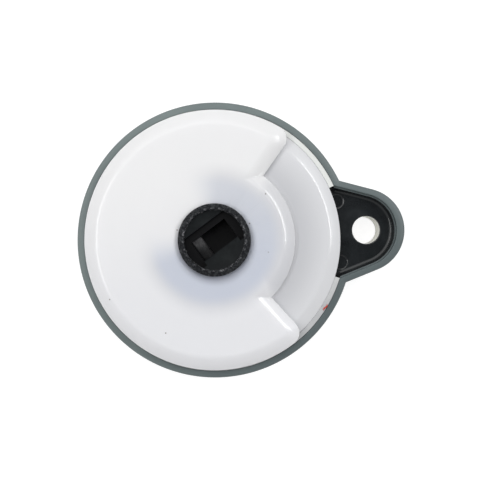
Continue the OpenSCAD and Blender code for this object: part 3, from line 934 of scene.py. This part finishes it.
def set_stage():
    scene = bpy.context.scene
    scene.view_settings.view_transform = "Standard"
    camera = bpy.data.objects.new("camera", bpy.data.cameras.new("camera"))
    scene.collection.objects.link(camera)
    camera.data.sensor_width = camera_film
    camera.data.lens = camera_lens
    camera.data.clip_start = camera_near
    right = camera_aside * cos(camera_turn)
    back = camera_aside * sin(camera_turn)
    camera.location = Vector((right, -back, camera_up)) * MM
    camera.rotation_euler = (0, 0, -camera_turn)
    scene.camera = camera

    floor = bpy.data.objects.new("floor", sweep_floor())
    scene.collection.objects.link(floor)
    floor.location.z = -floor_gap * MM
    floor.data.materials.append(backdrop("floor_white"))

    light_tent()
    soft_box("upper_box", around=112, up=58, size=(0.62, 0.62), power=1.4)
    soft_box("left_box", around=176, up=45, size=(0.45, 0.09), power=0.8)
    soft_box("right_box", around=18, up=43, size=(0.38, 0.06), power=1.15)


def soft_box(name, around, up, size, power):
    """A rectangular lamp that faces the reel from a direction and a height, both in degrees."""
    a, b = radians(around), radians(up)
    place = Vector((cos(a) * cos(b), sin(a) * cos(b), sin(b))) * lamp_away
    lamp = bpy.data.lights.new(name, "AREA")
    lamp.shape = "RECTANGLE"
    lamp.size, lamp.size_y = size
    lamp.energy = power
    holder = bpy.data.objects.new(name, lamp)
    bpy.context.scene.collection.objects.link(holder)
    holder.location = place
    holder.rotation_euler = (-place).to_track_quat("-Z", "Y").to_euler()


# ---------------------------------------------------------------- case

def tip_arc(tip_x, tip_r):
    """The round tip of a lug."""
    return arc((tip_x, 0), tip_r, lug_taper - pi / 2, pi / 2 - lug_taper, lug_tip_steps)


def lug_union(r, tip_r):
    """Outline of a circle about the axis joined by a tapering lug with a round tip."""
    touch = Vector((lug_tip_x + tip_r * sin(lug_taper), tip_r * cos(lug_taper)))
    back = Vector((-cos(lug_taper), sin(lug_taper)))
    along = touch.dot(back)
    run = -along - sqrt(along * along - touch.length_squared + r * r)
    joint = touch + run * back
    a = atan2(joint.y, joint.x)
    side = [joint.lerp(touch, i / lug_side_steps) for i in range(1, lug_side_steps)]
    lower = [(p.x, -p.y) for p in side]
    upper = [(p.x, p.y) for p in reversed(side)]
    return arc((0, 0), r, a, 2 * pi - a, case_steps) + lower + tip_arc(lug_tip_x, tip_r) + upper


def lug_shape(tip_x, tip_r, back_x):
    """Outline of a lug alone, cut off square at back_x."""
    touch_x = tip_x + tip_r * sin(lug_taper)
    back_y = tip_r * cos(lug_taper) + (touch_x - back_x) * tan(lug_taper)
    return [(back_x, -back_y)] + tip_arc(tip_x, tip_r) + [(back_x, back_y)]


def within_tray(x, y, tip_r):
    """Whether a point lies inside the tray's outline when that has a tip of this radius."""
    beside_side = (x - tray_x) * sin(lug_taper) + abs(y) * cos(lug_taper) < tip_r
    beyond = x > tray_x + tip_r * sin(lug_taper)
    return hypot(x - tray_x, y) < tip_r if beyond else beside_side


def well():
    """Cutter for the round inside of the case."""
    return lathe("well", soften(
        (0, boss_top), (boss_r, boss_top, edge_break), (boss_r, floor_z, broad_r), (well_r, floor_z, broad_r),
        (well_r, shoulder_z, small_r), (lip_r, shoulder_z, fine_r), (lip_r, lip_z - edge_break),
        (lip_r + edge_break, lip_z + sliver), (lip_r + edge_break, lip_z + past), (0, lip_z + past)))


def tray():
    """Cutter for the tray, with a fillet at its foot and a ledge below its rim."""
    steps = [(tray_r - tray_fillet + tray_fillet * sin(a), shoulder_z - sliver + tray_fillet * (1 - cos(a)))
             for a in spread(0, pi / 2, tray_foot_steps)]
    steps += [(tray_r + out, ledge_z + up) for out, up in ledge_edge]
    steps += [(ledge_r + out, lip_z + up) for out, up in rim_edge]
    return loft("tray", [(lug_shape(tray_x, r, tray_cut_x), z) for r, z in steps])


def eye():
    """Cutter for the line eye, its flared top and the seat of its liner."""
    return lathe("eye", soften(
        (0, -past), (liner_foot_r, -past), (liner_foot_r, liner_foot_t), (liner_r, liner_foot_t),
        (liner_r, liner_top), (eye_r, liner_top), (eye_r, shoulder_z - eye_flare_w),
        (eye_r + eye_flare_step, shoulder_z - eye_flare_step), (eye_r + eye_flare_w, shoulder_z),
        (eye_r + eye_flare_w, shoulder_z + past), (0, shoulder_z + past)), steps=128, aside=eye_x)


def marks():
    """Cutters for the two shallow round marks in the tray."""
    for a in (mark_angle, -mark_angle):
        mark = lathe("mark", [
            (0, shoulder_z - mark_h), (mark_r - mark_slope, shoulder_z - mark_h), (mark_r, shoulder_z),
            (mark_r, shoulder_z + past), (0, shoulder_z + past)], steps=64, aside=mark_at)
        mark.rotation_euler.z = a
        yield mark


def lug_hollow():
    """Cutter that leaves the lug a wall all round, and a boss for the eye."""
    hollow = prism("hollow", lug_shape(lug_tip_x, lug_tip_r - lug_wall, hollow_back_x), -past,
                   shoulder_z - lug_wall)
    return carve(hollow, [drill("keep", case_r - lug_wall / 2, keep_low, keep_high),
                          drill("keep", lug_boss_r, keep_low, keep_high, steps=128, aside=eye_x)])


def bore():
    """Cutter for the bush, the screw's recess and the plug."""
    return lathe("bore", [
        (0, -past), (plug_r, -past), (plug_r, plug_t), (recess_r, plug_t), (recess_r, recess_z),
        (bush_r, recess_z), (bush_r, lip_z), (0, lip_z)])


def relief():
    """Cutter for the ring of pockets in the underside, with ribs between them."""
    ring = lathe("relief", soften(
        (relief_in_r, -past), (relief_out_r, -past), (relief_out_r, relief_h, mid_r),
        (relief_in_r, relief_h, mid_r)))
    ribs = []
    for i in range(relief_ribs):
        rib = bar("rib", 0, case_r, -rib_w / 2, rib_w / 2, -rib_cut, rib_cut)
        rib.rotation_euler.z = 2 * pi * (i + 0.5) / relief_ribs
        ribs.append(rib)
    return carve(ring, ribs)


def tongue_slots():
    """Cutters for the slots that the guard's tongues snap into."""
    profile = soften(
        (well_r - past, tongue_slot_z), (lip_r + tongue_slot_depth, tongue_slot_z),
        (lip_r + tongue_slot_depth, tongue_slot_top), (lip_r - tongue_slot_back, tongue_slot_top),
        (lip_r - tongue_slot_back, shoulder_z + past), (well_r - past, shoulder_z + past))
    return [sweep_arc("slot", profile, a - tongue_half, a + tongue_half, tongue_slot_steps)
            for a in tongue_at]


def gloss_inside(body):
    """Gives the gloss finish to the faces inside the lip and the tray, but not to the tray's ledge."""
    low, high = (ledge_z + d for d in ledge_band)
    corners = [corner.co / MM for corner in body.data.vertices]
    inside = [at.z > gloss_from_z and (
        hypot(at.x, at.y) < lip_r + gloss_margin
        or at.x > hollow_back_x and within_tray(at.x, at.y, ledge_r + gloss_margin)) for at in corners]
    for face in body.data.polygons:
        on_ledge = low < face.center.z / MM < high and face.normal.z > facing_up
        face.material_index = int(all(inside[i] for i in face.vertices) and not on_ledge)


def case_body():
    bottom = [(lug_union(case_r - d, lug_tip_r - d), h)
              for d, h in quarter(foot_round, foot_round, foot_steps)]
    top = [(lug_union(case_r - d, lug_tip_r - d), lip_z - h)
           for d, h in quarter(crown_w, crown_h, crown_steps)]
    body = loft("case_shell", bottom[::-1] + top)
    carve(body, [well(), tray(), eye(), *marks(), lug_hollow(), bore(), relief(), *tongue_slots()])
    polish(body, "case", "case_black", slate_skin(), gloss_black(), sharp=26)
    gloss_inside(body)
    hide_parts("base")


def eye_ring():
    ring = lathe("eye_ring", soften(
        (eye_r, 0, mid_r), (liner_foot_r, 0, small_r), (liner_foot_r, liner_foot_t, fine_r),
        (liner_r, liner_foot_t, fine_r), (liner_r, liner_top, fine_r), (eye_r, liner_top, small_r)),
        steps=128, aside=eye_x)
    polish(ring, "case", "liner_pale", plain("liner_pale", liner_tones, roughness=0.45))
    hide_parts("eye_liner")


def bottom_plug():
    plug = lathe("screw_plug", soften(
        (0, 0), (plug_r, 0, small_r), (plug_r, plug_t, fine_r), (0, plug_t)), steps=192)
    dish = lathe("dish", soften(
        (0, -past), (plug_dish_r, -past), (plug_dish_r, plug_dish_h, fine_r), (0, plug_dish_h)), steps=192)
    pip = lathe("pip", soften(
        (0, pip_low), (pip_r, pip_low, pip_round), (pip_r, pip_high), (0, pip_high)), steps=48)
    carve(plug, [dish])
    carve(plug, [pip], "UNION")
    polish(plug, "case", "case_black", slate_skin())
    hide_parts("bottom_plug")


# ---------------------------------------------------------------- guard

def guard_outline(side_in, rim_in):
    """Outline of the guard's broad part, its window sides and its round edge moved in by two insets."""
    root = middle_r * Vector((cos(window_root), sin(window_root)))
    apex = Vector((root.x - root.y / tan(window_side), 0))
    along = Vector((cos(window_side), sin(window_side)))
    away = Vector((-sin(window_side), cos(window_side)))
    rounding = max(corner_r - side_in, inner_round)
    start = apex + (side_in + rounding) * away
    reach = guard_r - rim_in - rounding
    part = start.dot(along)
    centre = start + along * (sqrt(part * part - start.length_squared + reach * reach) - part)
    a_rim = atan2(centre.y, centre.x)
    low = min(guard_r - rim_in, tongue_r)
    corner = [(x * min(1, low / hypot(x, y)), y * min(1, low / hypot(x, y)))
              for x, y in arc(centre, rounding, window_side - pi / 2, a_rim, window_corner_steps)]
    tip = Vector((apex.x - side_in / sin(window_side), 0))
    side = [tuple(tip.lerp(Vector(corner[0]), i / window_side_steps)) for i in range(window_side_steps)]
    edge = [(r * cos(a), r * sin(a)) for a, r in notched(a_rim, guard_r - rim_in)]
    half = side + corner[:-1] + edge
    return half + [(x, -y) for x, y in reversed(half[1:-1])]


def notched(a_rim, r):
    """Half of the guard's edge as angles and radii, set in at the snap tongues by the window and behind."""
    low = min(r, tongue_r)
    first = tongue_at[0] + tongue_half
    last = tongue_at[1] - tongue_half
    clear = (last - first) * rim_clear
    beside = [(a, low) for a in spread(a_rim, first, beside_steps)]
    between = [(a, r) for a in spread(first + clear, last - clear, between_steps)]
    behind = [(a, low) for a in spread(last, pi, behind_steps)]
    return beside + between + behind


def guard_cover():
    finish = milky_plastic()
    rim = [(d + rim_draft * (1 - d / rim_slope_w), h)
           for d, h in sloped_edge(rim_slope_w, rim_bend_w, rim_tilts, guard_edge_r)]
    side = sloped_edge(side_slope_w, side_bend_w, side_tilts, guard_edge_r)
    drops = sorted({round(h, drop_digits) for d, h in rim + side}, reverse=True)
    foot = [(guard_outline(0, 0), z) for z in (guard_foot_z, guard_side_z)]
    guard = loft("guard_shell", foot + [
        (guard_outline(inset_at(side, h), inset_at(rim, h)), guard_top - h) for h in drops])
    middle = lathe("middle", [(0, window_edge_z), (middle_r, window_edge_z)] + [
        (middle_r - d, guard_top - h) for d, h in side] + [(0, guard_top)])
    carve(guard, [middle], "UNION")
    hollow = drill("hollow", skirt_r, under_guard, window_edge_z)
    under = window_edge_z - ceiling_gap
    ceiling = prism("ceiling", guard_outline(ceiling_inset, ceiling_inset), under, guard_under)
    carve(ceiling, [drill("middle", middle_r - guard_t, under, guard_under)], "UNION")
    hole = lathe("hole", soften(
        (0, under_guard), (hub_hole_r, under_guard), (hub_hole_r, guard_top, broad_r),
        (hub_hole_r + hub_hole_flare, guard_top), (hub_hole_r + hub_hole_flare, over_guard), (0, over_guard)))
    carve(guard, [hollow, ceiling, hole])
    polish(guard, "case", "guard_milky", finish, sharp=50)
    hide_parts("guard_cover")
    guard_skirt()
    snap_tongues(finish)
    seal_collar(finish)


def guard_skirt():
    skirt_out = guard_r - sliver
    skirt = sweep_arc("guard_skirt", soften(
        (skirt_r, shoulder_z, fine_r), (skirt_out, shoulder_z, fine_r),
        (skirt_out, lip_z - skirt_bevel_h, hair_r), (nib_r, lip_z, hair_r),
        (nib_r, lip_z - nib_h), (skirt_r, lip_z - nib_foot_h)),
        line_gap, 2 * pi - line_gap, skirt_steps)
    polish(skirt, "case", "guard_milky", skirt_plastic())


def snap_tongues(finish):
    profile = soften(
        (skirt_r, tongue_z, fine_r), (hook_r - hook_nose, tongue_z), (hook_r, hook_z), (hook_r, hook_top),
        (tongue_r, hook_top), (tongue_r, shoulder_z + tongue_over), (skirt_r, shoulder_z + tongue_over))
    half = tongue_half - tongue_play
    for i, a in enumerate(tongue_at):
        tongue = sweep_arc(f"snap_tongue_{i + 1}", profile, a - half, a + half, tongue_steps)
        polish(tongue, "case", "guard_milky", finish)


def seal_collar(finish):
    out = seal_r + collar_t
    collar = lathe("seal_collar", soften(
        (seal_r, collar_z), (out, collar_z, small_r), (out, collar_top), (seal_r, collar_top)))
    polish(collar, "case", "guard_milky", finish)


# ---------------------------------------------------------------- spool, line and hub

def spool_plate():
    edge = sloped_edge(flange_slope_w, flange_bend_w, flange_tilts, flange_edge_r)
    foot_z = flange_low.z
    plate = lathe("spool_plate", soften(
        (stem_r, plate_z), (recess_out_r, plate_z, fine_r), (recess_out_r, flange_under, mid_r),
        (flange_r - flange_slope_in, flange_under, flange_round),
        (flange_r - flange_step_in, foot_z + flange_step_h, fine_r),
        (flange_r - flange_foot_in, foot_z, fine_r), (flange_r, foot_z, small_r),
        *[(flange_r - d, spool_top - h) for d, h in edge],
        (brake_recess_r, spool_top, mid_r), (brake_recess_r, plate_top, fine_r), (stem_r, plate_top)))
    polish(plate, "reel", "spool_white", white_plastic())
    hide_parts("spool_flange")


def wound_line():
    """Turns of line laid side by side: a helical scallop round the winding, sloped at both ends."""
    low, high = line_low.z, line_high.z
    heights = spread(low, high, line_rows)
    points = []
    for i in range(line_steps):
        turn = i / line_steps
        ring = [(core_drum_r, low)]
        for z in heights:
            bump = line_sag * (1 - abs(sin(pi * ((z - low) / line_pitch - turn))))
            end = max(0, line_end_slope - min(z - low, high - z))
            ring.append((line_high.y - bump - end, z))
        ring.append((core_drum_r, high))
        points += [(r * cos(2 * pi * turn), r * sin(2 * pi * turn), z) for r, z in ring]
    line = new_piece("line_winding", points, skin(line_steps, len(ring), closed=True))
    polish(line, "reel", "line_red", red_line(), sharp=60)
    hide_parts("wound_line")


def caught_line():
    """A bent end of the line that is caught between the guard's skirt and the lip."""
    points = []
    for t in spread(0, 1, caught_steps):
        a = caught_from - caught_turn * t
        thin = caught_r * (caught_ends + (1 - caught_ends) * sin(pi * t))
        reach = caught_at + caught_wave * sin(2 * pi * t)
        z = caught_z + caught_rise * sin(pi * t)
        around = Vector((cos(a), sin(a)))
        for b in spread(0, 2 * pi, caught_sides)[:-1]:
            flat = around * (reach + thin * cos(b))
            points.append((flat.x, flat.y, z + thin * sin(b)))
    shape = (caught_steps + 1, caught_sides)
    line = new_piece("caught_line", points, skin(*shape) + ends(*shape))
    polish(line, "case", "line_red", red_line(), sharp=60)


def slot_cutter():
    """Cutter for the slot across the hub, less the ledge beside the socket."""
    slot_r = hub_recess_r - sliver
    low = asin(slot_w / 2 / slot_r)
    high = asin(slot_far / slot_r)
    near = arc((0, 0), slot_r, -low, high, slot_steps)
    far = arc((0, 0), slot_r, pi - high, pi + low, slot_steps)
    slot = prism("slot", near + far, slot_z, hub_recess_z + slot_over)
    return carve(slot, [bar("ledge", -socket_end, socket_end, slot_ledge_y, -socket_side,
                            hub_top - slot_ledge_h, hub_top + past)])


def socket_cutter():
    """Cutter for the oblong socket, with a ramp at one end."""
    wall = soften((-socket_end, slot_z + socket_over), (-socket_end, slot_z - ramp_top_h),
                  (ramp_x, socket_z + ramp_foot_h), (ramp_x, socket_z, mid_r), (socket_end, socket_z, mid_r),
                  (socket_end, slot_z + socket_over))
    socket = prism("socket", wall, -socket_side, socket_side)
    socket.rotation_euler.x = pi / 2
    return socket


def hub():
    body = lathe("winding_hub", soften(
        (0, hub_low.z), (journal_r, hub_low.z, mid_r), (journal_r, neck_z), (neck_r, neck_z),
        (neck_r, plate_z), (stem_r, plate_z, mid_r), (stem_r, hub_z, mid_r), (hub_r, hub_z, hub_foot_round),
        (hub_r, hub_top - bevel_h, fine_r), (hub_r - bevel_w, hub_top, fine_r),
        (hub_recess_r, hub_top, fine_r), (hub_recess_r, hub_recess_z, fine_r), (0, hub_recess_z)))
    flats = [bar("flat", -flat_far, flat_far, side * flat_at, side * flat_far, neck_z - sliver, plate_z)
             for side in (-1, 1)]
    tools = [*flats, slot_cutter(), socket_cutter()]
    for tool in tools:
        tool.rotation_euler.z = socket_angle
    insert = drill("insert", insert_r, insert_low, hub_low.z + insert_l, steps=96)
    carve(body, [*tools, insert])
    polish(body, "reel", "hub_black", hub_black())
    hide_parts("hub")


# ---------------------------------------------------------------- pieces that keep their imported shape

def dress(node, finish):
    mesh = frame["nodes"][node].data
    mesh.materials.clear()
    mesh.materials.append(finish)


def inner_pieces():
    steel = plain("steel", steel_tones, roughness=0.3, metallic=1, lumps=900)
    brass = plain("brass", brass_tones, roughness=0.3, metallic=1, lumps=900)
    felt = plain("grey_felt", felt_tones, roughness=0.92, lumps=1800, depth=0.12)
    dress("bearing_bush", plain("bearing_plastic", bearing_tones, roughness=0.4))
    dress("thrust_washer", plain("washer_plastic", washer_tones, roughness=0.35))
    dress("brake_ring", plain("brake_grey", brake_tones, roughness=0.45))
    dress("brake_pad", felt)
    dress("stem_seal", felt)
    dress("spool_core", white_plastic())
    dress("flange_screws", steel)
    dress("axle_screw", steel)
    dress("screw_washer", steel)
    dress("threaded_insert", brass)
    dress("line_knot", red_line())


set_stage()
case_body()
eye_ring()
bottom_plug()
guard_cover()
spool_plate()
wound_line()
caught_line()
hub()
inner_pieces()
